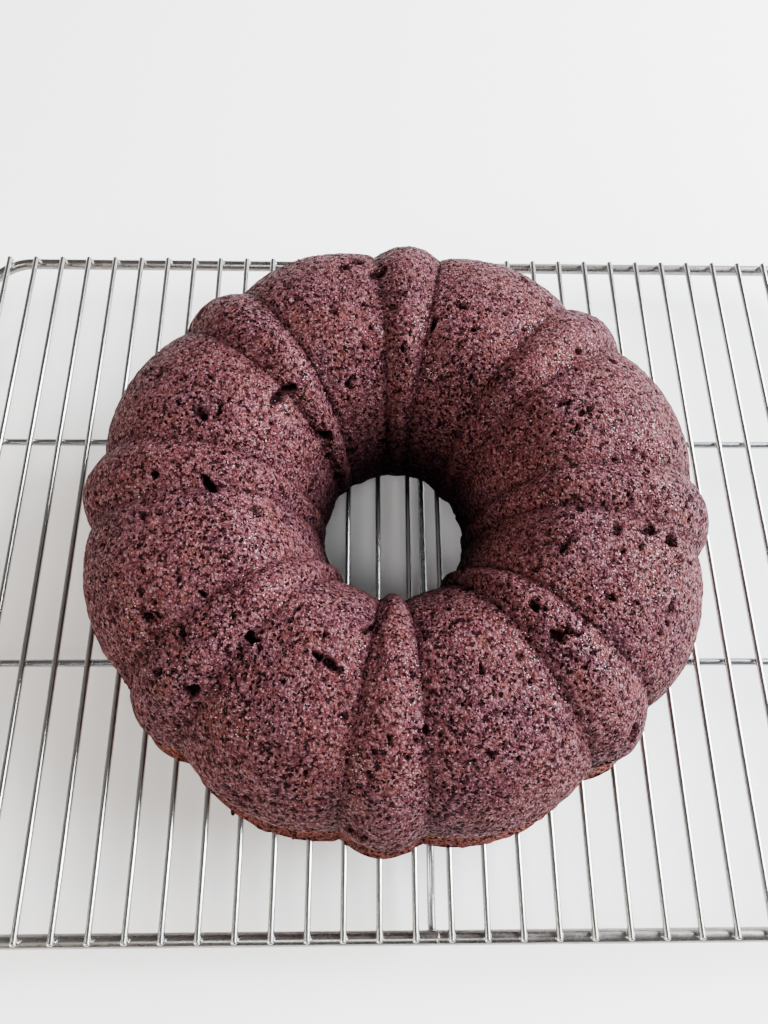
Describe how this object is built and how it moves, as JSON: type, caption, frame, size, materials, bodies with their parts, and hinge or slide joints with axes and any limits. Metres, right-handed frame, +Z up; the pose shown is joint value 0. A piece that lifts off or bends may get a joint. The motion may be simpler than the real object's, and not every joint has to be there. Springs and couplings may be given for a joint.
{
  "type": "ring cake on cooling rack",
  "caption": "Fluted chocolate ring cake with a round centre hole, resting on a footed stainless steel wire cooling rack.",
  "frame": {"origin": "centre of the rack's footprint, at the underside of the feet", "axes": "+X along the rack's long side to the right, +Y from its front rail to its back rail, +Z up"},
  "size_m": [0.419, 0.2974, 0.0944],
  "materials": {
    "frame_steel": "satin",
    "wire_steel": "satin",
    "brace_steel": "satin",
    "foot_steel": "satin",
    "chocolate_crumb": "matte"
  },
  "bodies": {
    "rack": {"frame_loop": "frame_steel", "cross_wire_front": "brace_steel", "cross_wire_back": "brace_steel", "centre_brace": "brace_steel", "foot_front_left": "foot_steel", "foot_front_right": "foot_steel", "foot_back_left": "foot_steel", "foot_back_right": "foot_steel", "top_wire_01": "wire_steel", "top_wire_02": "wire_steel", "top_wire_03": "wire_steel", "top_wire_04": "wire_steel", "top_wire_05": "wire_steel", "top_wire_06": "wire_steel", "top_wire_07": "wire_steel", "top_wire_08": "wire_steel", "top_wire_09": "wire_steel", "top_wire_10": "wire_steel", "top_wire_11": "wire_steel", "top_wire_12": "wire_steel", "top_wire_13": "wire_steel", "top_wire_14": "wire_steel", "top_wire_15": "wire_steel", "top_wire_16": "wire_steel", "top_wire_17": "wire_steel", "top_wire_18": "wire_steel", "top_wire_19": "wire_steel", "top_wire_20": "wire_steel", "top_wire_21": "wire_steel", "top_wire_22": "wire_steel", "top_wire_23": "wire_steel", "top_wire_24": "wire_steel", "top_wire_25": "wire_steel", "top_wire_26": "wire_steel", "top_wire_27": "wire_steel", "top_wire_28": "wire_steel", "top_wire_29": "wire_steel", "top_wire_30": "wire_steel", "top_wire_31": "wire_steel", "top_wire_32": "wire_steel"},
    "cake": {"ring_cake": "chocolate_crumb"}
  },
  "joints": [
    {"name": "cake_lift", "type": "slide", "parent": "rack", "child": "cake", "axis": [0, 0, 1], "range_m": [0, 0.1]}
  ]
}
